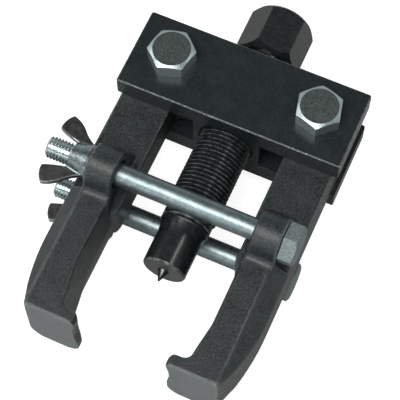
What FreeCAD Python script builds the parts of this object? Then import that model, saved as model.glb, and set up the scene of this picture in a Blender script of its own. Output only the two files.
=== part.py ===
"""Ball joint separator: two forged jaws swing in a slotted crosshead, two clamp bolts with
wing nuts close them round the joint, and a forcing screw presses the ball stud out.

Frame, in millimetres: the origin is on the forcing screw's axis, where it leaves the
crosshead on the side of the jaws.  X runs along the crosshead, the jaws point along -Y,
the screw's hexagon is at +Y, and Z is the depth, with the tool's front face at +Z.
"""
import FreeCAD, Part
import math
import os

V = FreeCAD.Vector

# Crosshead: a steel block with a slot in each end for a jaw.
CROSSHEAD_LENGTH = 106.0
CROSSHEAD_HEIGHT = 38.5
CROSSHEAD_DEPTH = 40.0
CROSSHEAD_CORNER = 1.2
CROSSHEAD_CHAMFER = 0.5
SLOT_WIDTH = 19.0
CENTRE_BLOCK = 32.0
BORE_CHAMFER = 1.5

# Jaw pivots: M12 bolts through the crosshead, with lock nuts at the back.
PIVOT_X = 35.0
PIVOT_Y = 20.0
PIVOT_RADIUS = 6.0
PIVOT_LENGTH = 55.0
PIVOT_FLATS = 19.0
PIVOT_HEAD = 8.0
PIVOT_PHASES = {"left": 17.6, "right": -16.2}
LOCK_NUT_HEX = 9.0
LOCK_NUT_COLLAR = 3.0
LOCK_NUT_COLLAR_RADIUS = 8.2

# Forcing screw: M24 x 2, 27 mm hexagon, plain nose with a hardened centre point.
SCREW_RADIUS = 12.0
THREAD_TOP = 42.6
THREAD_END = -40.0
NECK_RADIUS = 10.6
SCREW_HEX_FLATS = 27.0
SCREW_HEX_START = 45.1
SCREW_HEX_END = 69.0
SCREW_HEX_PHASE = 11.0
SCREW_HEX_CHAMFER = 40.0
COLLAR_RADIUS = 11.3
COLLAR_END = -45.0
NOSE_RADIUS = 9.9
NOSE_START = -52.0
NOSE_END = -67.0
NOSE_CHAMFER = 0.9
POINT_RADIUS = 2.5
POINT_HEIGHT = 5.0
POINT_TIP_RADIUS = 0.3
POINT_DEPTH = 16.0

# Clamp bolts: two M10 bolts across both jaws, in front of and behind the screw.
CLAMP_Y = -41.4
CLAMP_Z = 20.4
CLAMP_RADIUS = 5.0
CLAMP_HOLE_RADIUS = 6.3
CLAMP_FLATS = 17.0
CLAMP_HEAD = 7.0
CLAMP_THREAD_END = -65.2
CLAMP_HEAD_PHASE = 14.5
CLAMP_SIDES = {"front": 1, "rear": -1}

# Wing nuts.  The wing's outline is (distance out from the bearing face, distance aside).
WING_HUB_RADIUS = 7.8
WING_HUB_TOP_RADIUS = 6.0
WING_HUB_LENGTH = 9.0
WING_THICKNESS = 2.8
WING_ROOT_DEPTH = 3.5
WING_BASE = (0.8, 7.3)
WING_ELBOW = (4.8, 9.4)
WING_WAIST = (8.6, 12.7)
WING_SHOULDER = (12.2, 15.6)
WING_HEEL = (16.2, 17.2)
WING_CREST = (18.5, 13.9)
WING_EAR = (19.3, 9.4)
WING_SCOOP = (13.6, 7.3)
WING_THROAT = (8.4, 6.0)

# Jaws: a core plate on the middle plane, a rib on both faces and a boss round each bolt.
JAW_INNER_X = 27.4
JAW_OUTER_X = 51.0
JAW_END_Y = -109.7
JAW_END_OUTER_X = 43.8
JAW_BEND_Y = -74.0
CORE_THICKNESS = 18.4
ARM_INNER_X = 29.2
ARM_INNER_START_Y = -53.0
ARM_DEPTH = 36.0
ARM_START_Y = -50.0
ARM_FADE_END_Y = -64.0
DRAFT_START_Y = -56.0
DRAFT_FADE_Y = -84.0
DRAFT_Z = 2.5
RIDGE_INNER_X = 41.4
RIDGE_OUTER_X = 44.2
RIDGE_GROOVE = 0.6
RIDGE_FALL = 1.3
HOOK_TIP_X = 20.6
HOOK_TOP_Y = -104.0
HOOK_ROOT_RADIUS = 3.5
HOOK_TIP_RADIUS = 3.0
HOOK_FRONT_CORNER = 2.5
HOOK_REAR_CORNER = 6.5
HOOK_HOLLOW_RADIUS = 42.0
HOOK_HOLLOW_DEPTH = 1.2
HOOK_HOLLOW_Z = 3.5
BOSS_INNER_X = 31.7
BOSS_OUTER_X = 44.6
BOSS_RADIUS = 10.0
BOSS_START_Y = -26.0
HEAD_ROOM = 1.0

# Gaps: a shaft in its hole, a nut on its thread and two faces of different pieces.
RUNNING_CLEARANCE = 0.06
THREAD_CLEARANCE = 0.05
FACE_GAP = 0.2

HALF_DEPTH = CROSSHEAD_DEPTH / 2
SCREW_AXIS = V(0, 1, 0)
FORWARD = V(0, 0, 1)
ALONG = V(1, 0, 0)


def face_of(edges):
    """A flat face inside a closed run of edges."""
    return Part.Face(Part.Wire(Part.__sortEdges__(edges)))


def line(start, end):
    return Part.makeLine(start, end)


def arc(start, middle, end):
    return Part.Arc(start, middle, end).toShape()


def cylinder(radius, start, end):
    """A round bar of the given radius from one point to another."""
    return Part.makeCylinder(radius, (end - start).Length, start, end - start)


def cone(radius_start, radius_end, start, end):
    return Part.makeCone(radius_start, radius_end, (end - start).Length, start, end - start)


def box(low, high):
    size = high - low
    return Part.makeBox(size.x, size.y, size.z, low)


def hexagon(flats, height, phase, chamfers, chamfer_angle=30.0):
    """A hexagonal bar along +Z with the named ends ("start", "end") chamfered."""
    corner = flats / math.sqrt(3)
    angles = [math.radians(phase + 60 * step) for step in range(7)]
    outline = Part.makePolygon([V(corner * math.cos(a), corner * math.sin(a), 0) for a in angles])
    bar = Part.Face(outline).extrude(V(0, 0, height))
    crown = 0.45 * flats
    spread = crown + height / math.tan(math.radians(chamfer_angle))
    if "start" in chamfers:
        bar = bar.common(cone(crown, spread, V(0, 0, 0), V(0, 0, height)))
    if "end" in chamfers:
        bar = bar.common(cone(spread, crown, V(0, 0, 0), V(0, 0, height)))
    return bar


def place(shape, position, direction):
    """Move a shape built along +Z so that it starts at position and runs along direction."""
    moved = shape.copy()
    moved.Placement = FreeCAD.Placement(position, FreeCAD.Rotation(FORWARD, direction))
    return moved


def mirror_x(shape):
    return shape.mirror(V(0, 0, 0), ALONG)


def one_solid(shape):
    """The single solid of a finished boolean result."""
    cleaned = shape.removeSplitter()
    if len(cleaned.Solids) != 1:
        raise ValueError(f"expected one solid, got {len(cleaned.Solids)}")
    return cleaned.Solids[0]


def edges_where(shape, test):
    return [edge for edge in shape.Edges if test(edge)]


def crosshead():
    """The block: slots through both ends, pivot holes, and the bore for the forcing screw."""
    half = CROSSHEAD_LENGTH / 2
    block = box(V(-half, 0, -HALF_DEPTH), V(half, CROSSHEAD_HEIGHT, HALF_DEPTH))
    upright = edges_where(block, lambda edge: abs(edge.tangentAt(edge.FirstParameter).z) > 0.99)
    top_corners = [edge for edge in upright if edge.CenterOfMass.y > CROSSHEAD_HEIGHT / 2]
    block = block.makeFillet(CROSSHEAD_CORNER, top_corners)
    low_corners = edges_where(block, lambda edge: abs(edge.tangentAt(edge.FirstParameter).z) > 0.99
                              and edge.CenterOfMass.y < 1 and abs(edge.CenterOfMass.x) > half - 1)
    block = block.makeFillet(CROSSHEAD_CORNER / 2, low_corners)
    rims = edges_where(block, lambda edge: abs(abs(edge.CenterOfMass.z) - HALF_DEPTH) < 0.01)
    block = block.makeChamfer(CROSSHEAD_CHAMFER, rims)
    for side in (-1, 1):
        inner = side * CENTRE_BLOCK / 2
        outer = side * (half + 1)
        slot = box(V(min(inner, outer), -1, -SLOT_WIDTH / 2),
                   V(max(inner, outer), CROSSHEAD_HEIGHT + 1, SLOT_WIDTH / 2))
        block = block.cut(slot)
        centre = V(side * PIVOT_X, PIVOT_Y, 0)
        reach = FORWARD * (HALF_DEPTH + 1)
        block = block.cut(cylinder(PIVOT_RADIUS + THREAD_CLEARANCE, centre - reach, centre + reach))
    bore = SCREW_RADIUS + RUNNING_CLEARANCE
    block = block.cut(cylinder(bore, V(0, -1, 0), V(0, CROSSHEAD_HEIGHT + 1, 0)))
    for y, direction in ((0, SCREW_AXIS), (CROSSHEAD_HEIGHT, -SCREW_AXIS)):
        mouth = V(0, y, 0)
        block = block.cut(cone(bore + BORE_CHAMFER, bore, mouth, mouth + direction * BORE_CHAMFER))
    return one_solid(block)


def pivot_bolt(side):
    """An M12 bolt whose head lies on the front of the crosshead."""
    centre = V((-1 if side == "left" else 1) * PIVOT_X, PIVOT_Y, HALF_DEPTH)
    head = hexagon(PIVOT_FLATS, PIVOT_HEAD, PIVOT_PHASES[side], ("end",))
    shank = cylinder(PIVOT_RADIUS, V(0, 0, 1 - PIVOT_LENGTH), V(0, 0, 1))
    point = cone(PIVOT_RADIUS - 1, PIVOT_RADIUS, V(0, 0, -PIVOT_LENGTH), V(0, 0, 1 - PIVOT_LENGTH))
    return one_solid(place(head.fuse([shank, point]), centre, FORWARD))


def lock_nut(side):
    """The M12 nut at the back of a pivot bolt, with the round collar of its locking ring."""
    start = V((-1 if side == "left" else 1) * PIVOT_X, PIVOT_Y, -HALF_DEPTH)
    nut = hexagon(PIVOT_FLATS, LOCK_NUT_HEX, -PIVOT_PHASES[side], ("start", "end"))
    top = V(0, 0, LOCK_NUT_HEX)
    straight = V(0, 0, LOCK_NUT_COLLAR - 1)
    collar = cylinder(LOCK_NUT_COLLAR_RADIUS, top - FORWARD, top + straight)
    crown = cone(LOCK_NUT_COLLAR_RADIUS, LOCK_NUT_COLLAR_RADIUS - 1, top + straight,
                 top + straight + FORWARD)
    hole = cylinder(PIVOT_RADIUS + THREAD_CLEARANCE, -FORWARD, top + FORWARD * (LOCK_NUT_COLLAR + 1))
    return one_solid(place(nut.fuse([collar, crown]).cut(hole), start, -FORWARD))


def screw():
    """The forcing screw: hexagon, neck, threaded length, tapering collar and plain nose."""
    head = place(hexagon(SCREW_HEX_FLATS, SCREW_HEX_END - SCREW_HEX_START, SCREW_HEX_PHASE,
                         ("start", "end"), SCREW_HEX_CHAMFER), V(0, SCREW_HEX_START, 0), SCREW_AXIS)
    runout = 1.2
    # (y, radius) down the screw from inside the hexagon to the end of the nose
    profile = [
        (SCREW_HEX_START + 1, NECK_RADIUS),
        (THREAD_TOP + runout, NECK_RADIUS),
        (THREAD_TOP, SCREW_RADIUS),
        (THREAD_END, SCREW_RADIUS),
        (THREAD_END - 1, COLLAR_RADIUS),
        (COLLAR_END, COLLAR_RADIUS),
        (NOSE_START, NOSE_RADIUS),
        (NOSE_END + NOSE_CHAMFER, NOSE_RADIUS),
        (NOSE_END, NOSE_RADIUS - NOSE_CHAMFER),
    ]
    corners = [V(0, profile[0][0], 0)] + [V(radius, y, 0) for y, radius in profile]
    corners += [V(0, profile[-1][0], 0), corners[0]]
    body = Part.Face(Part.makePolygon(corners)).revolve(V(0, 0, 0), SCREW_AXIS, 360)
    socket = cylinder(POINT_RADIUS + RUNNING_CLEARANCE, V(0, NOSE_END - 1, 0),
                      V(0, NOSE_END + POINT_DEPTH, 0))
    return one_solid(head.fuse(body).cut(socket))


def centre_point():
    """The hardened pin in the nose: a round shank and the cone that enters the stud's centre."""
    inner_end = V(0, NOSE_END + POINT_DEPTH - FACE_GAP, 0)
    mouth = V(0, NOSE_END, 0)
    shank = cylinder(POINT_RADIUS, mouth, inner_end)
    tip = cone(POINT_RADIUS, POINT_TIP_RADIUS, mouth, mouth - SCREW_AXIS * POINT_HEIGHT)
    return one_solid(shank.fuse(tip))


def clamp_bolt(place_name):
    """An M10 bolt whose head bears on the right jaw and whose thread carries the wing nut."""
    z = CLAMP_SIDES[place_name] * CLAMP_Z
    seat = V(BOSS_OUTER_X + FACE_GAP, CLAMP_Y, z)
    head = place(hexagon(CLAMP_FLATS, CLAMP_HEAD, CLAMP_HEAD_PHASE, ("end",)), seat, ALONG)
    end = V(CLAMP_THREAD_END, CLAMP_Y, z)
    shank = cylinder(CLAMP_RADIUS, end + ALONG, seat + ALONG)
    point = cone(CLAMP_RADIUS - 1, CLAMP_RADIUS, end, end + ALONG)
    return one_solid(head.fuse([shank, point]))


def wing(side):
    """One wing, in the plane across the bolt: it leaves the hub and flares out and away."""
    def at(point):
        return V(side * point[1], 0, point[0])

    root_low = at((WING_BASE[0], WING_ROOT_DEPTH))
    root_high = at((WING_THROAT[0], WING_ROOT_DEPTH))
    edges = [line(root_low, at(WING_BASE)), arc(at(WING_BASE), at(WING_ELBOW), at(WING_WAIST)),
             arc(at(WING_WAIST), at(WING_SHOULDER), at(WING_HEEL)),
             arc(at(WING_HEEL), at(WING_CREST), at(WING_EAR)),
             arc(at(WING_EAR), at(WING_SCOOP), at(WING_THROAT)), line(at(WING_THROAT), root_high),
             line(root_high, root_low)]
    plate = face_of(edges).extrude(V(0, WING_THICKNESS, 0))
    plate.translate(V(0, -WING_THICKNESS / 2, 0))
    return plate


def wing_nut(place_name):
    """A wing nut on the threaded end of a clamp bolt, with its wings in the X-Y plane."""
    start = V(-(BOSS_OUTER_X + FACE_GAP), CLAMP_Y, CLAMP_SIDES[place_name] * CLAMP_Z)
    hub = cone(WING_HUB_RADIUS, WING_HUB_TOP_RADIUS, V(0, 0, 0), V(0, 0, WING_HUB_LENGTH))
    nut = hub.fuse([wing(-1), wing(1)])
    nut = nut.cut(cylinder(CLAMP_RADIUS + THREAD_CLEARANCE, -FORWARD, FORWARD * (WING_HUB_LENGTH + 1)))
    # Built with the bolt along +Z and the wings along X; turned so that Z -> -X and X -> Y.
    turned = nut.copy()
    turned.rotate(V(0, 0, 0), FORWARD, 90)
    turned.rotate(V(0, 0, 0), SCREW_AXIS, -90)
    turned.translate(start)
    return one_solid(turned)


def outer_side():
    """The edges of the jaw's outer side, from the end of the foot up to the pivot eye."""
    run = JAW_BEND_Y - JAW_END_Y
    set_in = JAW_OUTER_X - JAW_END_OUTER_X
    radius = (run ** 2 + set_in ** 2) / (2 * set_in)
    middle_y = (JAW_BEND_Y + JAW_END_Y) / 2
    middle_x = JAW_OUTER_X - radius + math.sqrt(radius ** 2 - (JAW_BEND_Y - middle_y) ** 2)
    bend = V(JAW_OUTER_X, JAW_BEND_Y, 0)
    foot = V(JAW_END_OUTER_X, JAW_END_Y, 0)
    return [arc(foot, V(middle_x, middle_y, 0), bend), line(bend, V(JAW_OUTER_X, PIVOT_Y, 0))]


def hook_side():
    """The edges of the hook, from the arm's inner side round the tip to the end face."""
    root = V(ARM_INNER_X - HOOK_ROOT_RADIUS, HOOK_TOP_Y + HOOK_ROOT_RADIUS, 0)
    tip = V(HOOK_TIP_X + HOOK_TIP_RADIUS, HOOK_TOP_Y - HOOK_TIP_RADIUS, 0)
    diagonal = V(1, -1, 0) / math.sqrt(2)
    root_low = root - V(0, HOOK_ROOT_RADIUS, 0)
    tip_high = tip + V(0, HOOK_TIP_RADIUS, 0)
    tip_side = tip - V(HOOK_TIP_RADIUS, 0, 0)
    toe = V(HOOK_TIP_X, JAW_END_Y, 0)
    return [arc(V(ARM_INNER_X, root.y, 0), root + diagonal * HOOK_ROOT_RADIUS, root_low),
            line(root_low, tip_high),
            arc(tip_high, tip - diagonal * HOOK_TIP_RADIUS, tip_side),
            line(tip_side, toe), line(toe, V(JAW_END_OUTER_X, JAW_END_Y, 0))]


def jaw_core():
    """The plate on the middle plane: the pivot eye, the tang in the slot, and the arm."""
    eye = JAW_OUTER_X - PIVOT_X
    top = V(PIVOT_X, PIVOT_Y + eye, 0)
    inner_y = PIVOT_Y - math.sqrt(eye ** 2 - (PIVOT_X - JAW_INNER_X) ** 2)
    inner = V(JAW_INNER_X, inner_y, 0)
    flank = V(PIVOT_X - eye, PIVOT_Y, 0)
    outer = V(JAW_OUTER_X, PIVOT_Y, 0)
    corner = eye / math.sqrt(2)
    shoulder = V(PIVOT_X + corner, PIVOT_Y + corner, 0)
    knee = V(JAW_INNER_X, ARM_INNER_START_Y, 0)
    arm_top = V(ARM_INNER_X, ARM_INNER_START_Y - 3.0, 0)
    arm_end = V(ARM_INNER_X, HOOK_TOP_Y + HOOK_ROOT_RADIUS, 0)
    edges = outer_side() + [arc(outer, shoulder, top), arc(top, flank, inner), line(inner, knee),
                            line(knee, arm_top), line(arm_top, arm_end)] + hook_side()
    plate = face_of(edges).extrude(V(0, 0, CORE_THICKNESS))
    plate.translate(V(0, 0, -CORE_THICKNESS / 2))
    return plate


def jaw_arm():
    """The arm below the bosses: a thick bar with both its faces bevelled at the sides."""
    inner_start = V(ARM_INNER_X, ARM_START_Y, 0)
    arm_end = V(ARM_INNER_X, HOOK_TOP_Y + HOOK_ROOT_RADIUS, 0)
    outer_start = V(JAW_OUTER_X, ARM_START_Y, 0)
    foot_arc = outer_side()[0]
    bend = V(JAW_OUTER_X, JAW_BEND_Y, 0)
    edges = [foot_arc, line(bend, outer_start), line(outer_start, inner_start),
             line(inner_start, arm_end)] + hook_side()
    bar = face_of(edges).extrude(V(0, 0, ARM_DEPTH))
    bar.translate(V(0, 0, -ARM_DEPTH / 2))
    for side, corner in ((1, HOOK_FRONT_CORNER), (-1, HOOK_REAR_CORNER)):
        bar = bar.cut(outer_bevel(side)).cut(boss_fade(side))
        bar = bar.cut(hook_corner(side, corner))
    return bar


def outer_bevel(side):
    """What is cut away outside a face: a groove, a rounded ridge, and a slope to the side."""
    face_z = ARM_DEPTH / 2
    width = RIDGE_OUTER_X - RIDGE_INNER_X
    outside = JAW_OUTER_X + 10
    above = face_z + 10
    # (x, distance from the middle plane)
    section = [(RIDGE_INNER_X, face_z), (RIDGE_INNER_X + 0.2 * width, face_z - RIDGE_GROOVE),
               (RIDGE_INNER_X + 0.45 * width, face_z - 0.1), (RIDGE_OUTER_X - 0.2 * width, face_z - 0.4),
               (RIDGE_OUTER_X, face_z - RIDGE_FALL),
               (RIDGE_OUTER_X + 0.2 * width, face_z - RIDGE_FALL - 1.4),
               (JAW_OUTER_X, CORE_THICKNESS / 2),
               (outside, CORE_THICKNESS / 2), (outside, above), (RIDGE_INNER_X, above)]
    corners = [V(x, ARM_START_Y + 5, side * z) for x, z in section]
    outline = Part.makePolygon(corners + corners[:1])
    return Part.Face(outline).extrude(V(0, JAW_END_Y - ARM_START_Y - 10, 0))


def tetrahedron(points):
    faces = [(0, 1, 2), (0, 2, 3), (0, 3, 1), (1, 3, 2)]
    shell = Part.Shell([Part.Face(Part.makePolygon([points[i] for i in face + face[:1]]))
                        for face in faces])
    solid = Part.Solid(shell)
    return solid if solid.Volume > 0 else solid.reversed()


def draft(side):
    """The arm's inner side slopes back towards a face; the slope fades out at the hook."""
    face_z = side * (ARM_DEPTH / 2 + 0.01)
    section = [V(ARM_INNER_X, DRAFT_START_Y, side * DRAFT_Z), V(BOSS_INNER_X, DRAFT_START_Y, face_z),
               V(ARM_INNER_X, DRAFT_START_Y, face_z)]
    along = V(0, DRAFT_FADE_Y - DRAFT_START_Y, 0)
    slope = Part.Face(Part.makePolygon(section + section[:1])).extrude(along)
    end = V(ARM_INNER_X, HOOK_TOP_Y + HOOK_ROOT_RADIUS, face_z)
    return slope.fuse(tetrahedron([corner + along for corner in section] + [end]))


def boss_fade(side):
    """The cut that brings the arm's inner side up to the inner end of the boss."""
    z = side * CORE_THICKNESS / 2
    top_y = ARM_START_Y + 1
    corners = [V(BOSS_INNER_X, top_y, z), V(ARM_INNER_X, ARM_FADE_END_Y, z),
               V(ARM_INNER_X - 1, ARM_FADE_END_Y, z), V(ARM_INNER_X - 1, top_y, z)]
    outline = Part.makePolygon(corners + corners[:1])
    return Part.Face(outline).extrude(V(0, 0, side * ARM_DEPTH / 2))


def hook_corner(side, radius):
    """What rounds the hook's tip off towards a face of the jaw."""
    edge_z = side * ARM_DEPTH / 2
    inner_z = edge_z - side * radius
    low = JAW_END_Y - 1
    high = HOOK_TOP_Y + 1
    outside = edge_z + side
    block = box(V(HOOK_TIP_X - 1, low, min(inner_z, outside)),
                V(HOOK_TIP_X + radius, high, max(inner_z, outside)))
    centre = V(HOOK_TIP_X + radius, low, inner_z)
    return block.cut(cylinder(radius, centre, V(centre.x, high, inner_z)))


def boss(side):
    """The hump round one clamp bolt: a slope up from the tang, a round top, a step down."""
    base = CORE_THICKNESS / 2 - 1
    foot = V(BOSS_INNER_X, BOSS_START_Y, CORE_THICKNESS / 2)
    centre = V(BOSS_INNER_X, CLAMP_Y, CLAMP_Z)
    reach = foot - centre
    spread = math.atan2(reach.z, reach.y) + math.acos(BOSS_RADIUS / reach.Length)

    def rim(angle):
        return centre + V(0, math.cos(angle), math.sin(angle)) * BOSS_RADIUS

    arm_face = ARM_DEPTH / 2
    fillet = 3.2
    drop = arm_face + fillet - CLAMP_Z
    step_angle = math.pi - math.asin(drop / BOSS_RADIUS)
    side_y = rim(step_angle).y
    blend_centre = V(BOSS_INNER_X, side_y - fillet, arm_face + fillet)
    turn = fillet / math.sqrt(2)
    blend_middle = blend_centre + V(0, turn, -turn)
    blend_end = blend_centre - V(0, 0, fillet)
    back = V(BOSS_INNER_X, blend_end.y, base)
    start = V(BOSS_INNER_X, BOSS_START_Y, base)
    edges = [line(start, foot), line(foot, rim(spread)),
             arc(rim(spread), rim((spread + step_angle) / 2), rim(step_angle)),
             arc(rim(step_angle), blend_middle, blend_end), line(blend_end, back), line(back, start)]
    hump = face_of(edges).extrude(V(BOSS_OUTER_X - BOSS_INNER_X, 0, 0))
    return hump if side > 0 else hump.mirror(V(0, 0, 0), FORWARD)


def right_jaw():
    """A forged jaw: core, arm and bosses, drilled for its pivot and both clamp bolts."""
    jaw = jaw_core().fuse([jaw_arm(), boss(1), boss(-1)])
    jaw = jaw.cut(draft(1)).cut(draft(-1))
    reach = FORWARD * HALF_DEPTH
    pivot = V(PIVOT_X, PIVOT_Y, 0)
    jaw = jaw.cut(cylinder(PIVOT_RADIUS + RUNNING_CLEARANCE, pivot - reach, pivot + reach))
    for side in (1, -1):
        start = V(BOSS_INNER_X - 6, CLAMP_Y, side * CLAMP_Z)
        end = V(BOSS_OUTER_X + 12, CLAMP_Y, side * CLAMP_Z)
        jaw = jaw.cut(cylinder(CLAMP_HOLE_RADIUS, start, end))
        head_room = cylinder(BOSS_RADIUS + HEAD_ROOM, V(BOSS_OUTER_X, CLAMP_Y, side * CLAMP_Z), end)
        jaw = jaw.cut(head_room)
    hollow_x = HOOK_TIP_X + HOOK_HOLLOW_DEPTH - HOOK_HOLLOW_RADIUS
    hollow = cylinder(HOOK_HOLLOW_RADIUS, V(hollow_x, HOOK_TOP_Y - 20, HOOK_HOLLOW_Z),
                      V(hollow_x, HOOK_TOP_Y + 3, HOOK_HOLLOW_Z))
    return one_solid(jaw.cut(hollow))


def main():
    os.makedirs("parts", exist_ok=True)
    jaw = right_jaw()
    nodes = {"crosshead": crosshead(), "right_jaw": jaw, "left_jaw": one_solid(mirror_x(jaw)),
             "forcing_screw": screw(), "centre_point": centre_point()}
    for side in ("left", "right"):
        nodes[side + "_pivot_bolt"] = pivot_bolt(side)
        nodes[side + "_lock_nut"] = lock_nut(side)
    for place_name in CLAMP_SIDES:
        nodes[place_name + "_clamp_bolt"] = clamp_bolt(place_name)
        nodes[place_name + "_wing_nut"] = wing_nut(place_name)
    for name, shape in nodes.items():
        if not shape.isValid():
            raise ValueError(name + " is not a valid solid")
        shape.exportStep(f"parts/{name}.step")
        print(f"{name}: {shape.Volume / 1000:.1f} cm3")


main()
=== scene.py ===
"""Looks for the ball joint separator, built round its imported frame.

Lengths are named in millimetres and multiplied by MM; every object is in metres, in the
part's frame: X along the crosshead, the jaws towards -Y, the front face towards +Z.
"""
import math

import bmesh
import bpy
import numpy as np
from mathutils import Matrix, Vector


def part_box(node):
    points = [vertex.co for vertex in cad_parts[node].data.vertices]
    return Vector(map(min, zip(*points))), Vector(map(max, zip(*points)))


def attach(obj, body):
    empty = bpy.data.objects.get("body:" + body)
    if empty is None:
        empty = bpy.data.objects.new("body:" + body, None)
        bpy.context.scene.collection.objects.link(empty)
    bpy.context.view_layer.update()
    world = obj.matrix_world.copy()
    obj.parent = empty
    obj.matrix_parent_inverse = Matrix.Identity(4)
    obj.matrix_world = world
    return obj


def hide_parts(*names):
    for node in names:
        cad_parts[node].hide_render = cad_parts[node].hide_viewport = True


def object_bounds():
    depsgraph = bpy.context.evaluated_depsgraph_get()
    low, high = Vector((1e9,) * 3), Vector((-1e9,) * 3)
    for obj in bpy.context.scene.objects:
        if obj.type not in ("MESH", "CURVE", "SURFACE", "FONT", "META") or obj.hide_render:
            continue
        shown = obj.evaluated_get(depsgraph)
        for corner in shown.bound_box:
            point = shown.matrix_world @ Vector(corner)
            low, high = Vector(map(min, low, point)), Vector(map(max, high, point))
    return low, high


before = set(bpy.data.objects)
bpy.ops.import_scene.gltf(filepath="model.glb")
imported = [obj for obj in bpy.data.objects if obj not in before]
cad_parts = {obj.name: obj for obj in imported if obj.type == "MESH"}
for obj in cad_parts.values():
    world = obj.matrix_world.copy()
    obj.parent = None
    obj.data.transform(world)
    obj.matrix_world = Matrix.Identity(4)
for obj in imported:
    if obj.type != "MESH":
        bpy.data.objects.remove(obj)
cad_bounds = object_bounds()

MM = 0.001
FRONT = Vector((0, 0, 1))
SCREW_AXIS = Vector((0, 1, 0))
ALONG = Vector((1, 0, 0))
CLAMPS = ("front", "rear")
SIDES = ("left", "right")

# Meshes: distances are in metres and angles in degrees
TINY = 1e-9
WELD_DISTANCE = 1e-7
CAD_WELD_DISTANCE = 1e-6
COPLANAR_ANGLE = 0.6
SHARP_ANGLE = 32
BEVEL_ANGLE = 24
BEVEL_SEGMENTS = 2
SMOOTH_FACTOR = 0.5
ROUND_SEGMENTS = 96
THREAD_SEGMENTS = 64
PIN_SEGMENTS = 48

# Wear: the name of the value that a mesh stores for it, and how it is worked out
WEAR = "wear"
WEAR_BLURS = 3
WEAR_FACING_CUT = 1.6

# Fasteners: a thread's profile is (share of the pitch, share of the depth) points, and its crest
# starts at point THREAD_CREST. A PHASE is how far a hexagon is turned, in degrees.
THREAD_DEPTH = 0.6134
THREAD_PROFILE = ((0.00, 0.0), (0.44, 1.0), (0.56, 1.0), (0.94, 0.0))
THREAD_CREST = 1
ISO_CHAMFER = math.tan(math.radians(30))
CROWN_SHARE = 0.45
HEX_CORNER_RADIUS = 0.45 * MM
HEX_CORNER_STEPS = 2
HEX_SIDE_STEPS = 10
EDGE_BREAK = 0.22 * MM
BOLT_CHAMFER = 0.9 * MM
BOLT_FILLET = 0.5 * MM
BOLT_FILLET_START = 0.6 * MM
BOLT_FILLET_OVERLAP = 0.2 * MM
RUNOUT_TURNS = 1.2
RUNOUT_DEPTH = 0.62
RUNOUT_END = 0.4 * MM

# Crosshead: a chamfer's normal lies between the SLOPES towards the front or the back
CROSSHEAD_CHAMFER = 0.5 * MM
CROSSHEAD_CHAMFER_SLOPES = (0.3, 0.95)
CROSSHEAD_EDGE_BREAK = 0.18 * MM
CROSSHEAD_BEVEL_ANGLE = 40
CROSSHEAD_SHARP_ANGLE = 30

# Forcing screw: heights are measured along it from the frame's origin. Each turned length starts
# an OVERLAP inside the one before it, and the normal of a rim or groove face that gets the
# lighter colour (rubbed at the rim, painted highlight in the grooves) lies between the
# RIM_SLOPES.
SCREW_RADIUS = 12.0 * MM
SCREW_PITCH = 2.0 * MM
SCREW_THREAD_TOP = 43.0 * MM
SCREW_THREAD_END = -38.2 * MM
SCREW_OVERLAP = 0.3 * MM
SCREW_NECK_RADIUS = 10.6 * MM
SCREW_NECK_OVERLAP = 1.0 * MM
SCREW_HEX_FLATS = 27.0 * MM
SCREW_HEX_START = 45.1 * MM
SCREW_HEX_PHASE = 11.0
SCREW_HEX_CHAMFER = math.tan(math.radians(40))
NOSE_RADIUS = 9.9 * MM
NOSE_NECK = -48.6 * MM
NOSE_NECK_RADIUS = NOSE_RADIUS + 0.25 * MM
NOSE_START = -52.0 * MM
NOSE_TIP = 1.0 * MM
NOSE_CHAMFER = 0.35 * MM
NOSE_RIM = 0.9 * MM
NOSE_FACE_RADIUS = 9.0 * MM
NOSE_FACE_INSET = 0.36 * MM
COLLAR_RADIUS = 11.3 * MM
COLLAR_ROOT_RADIUS = COLLAR_RADIUS - 0.6 * MM
COLLAR_START = SCREW_THREAD_END - 0.2 * MM
COLLAR_END = -45.0 * MM
COLLAR_CHAMFER = 0.5 * MM
GROOVE = 0.55 * MM
GROOVES = (-39.7 * MM, -41.7 * MM, -43.7 * MM)
RIM_SLOPES = (0.2, 0.95)
SOCKET_RADIUS = 2.56 * MM
SOCKET_CHAMFER = 0.4 * MM
SOCKET_DEPTH = 0.8 * MM

# Centre point: its tip is two (height, radius) points
POINT_TIP = ((0, 0.25 * MM), (0.15 * MM, 0.42 * MM))
POINT_SHOULDER = 0.2 * MM
POINT_SHOULDER_FALL = 0.1 * MM
POINT_SHARP_ANGLE = 40

# Clamp bolts and wing nuts
CLAMP_PITCH = 1.5 * MM
CLAMP_RADIUS = 5.0 * MM
CLAMP_SHANK_RADIUS = 4.9 * MM
CLAMP_THREAD_LENGTH = 28.0 * MM
CLAMP_FLATS = 17.0 * MM
CLAMP_HEAD = 7.0 * MM
CLAMP_HEAD_PHASE = 14.5
WING_VOXEL = 0.3 * MM
WING_SOFTENING = 5
WING_WEAR = 0.6 * MM
WING_HUB_RADIUS = 7.6 * MM
WING_BROAD_FACE = 0.8

# Jaws: the SOFT zones are rounder than the rest of the forging, and so is the HEEL, which is
# the foot's outer rear corner
JAW_VOXEL = 0.55 * MM
JAW_SOFTENING = 4
JAW_WEAR = 2.2 * MM
SOLE_DEPTH = 0.5 * MM
SOLE_SLOPE = -0.75
SOFT_ITERATIONS = 26
SOFT_FADE = 3.0 * MM
BOSS_SOFT_TOP = -20.0 * MM
BOSS_SOFT_END = -63.0 * MM
TANG_FACE = 9.2 * MM
FOOT_SOFT_TOP = -100.0 * MM
FOOT_SOFT_X = 38.5 * MM
FOOT_SOFT_Z = 11.5 * MM
HEEL_TOP = -84.0 * MM
HEEL_FADE = 18.0 * MM
HEEL_RADIUS = 8.0 * MM
HEEL_SLICE = 1.0 * MM
HEEL_MIDDLE = 3.0 * MM
HEEL_WIDTH = 12.0 * MM

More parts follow.
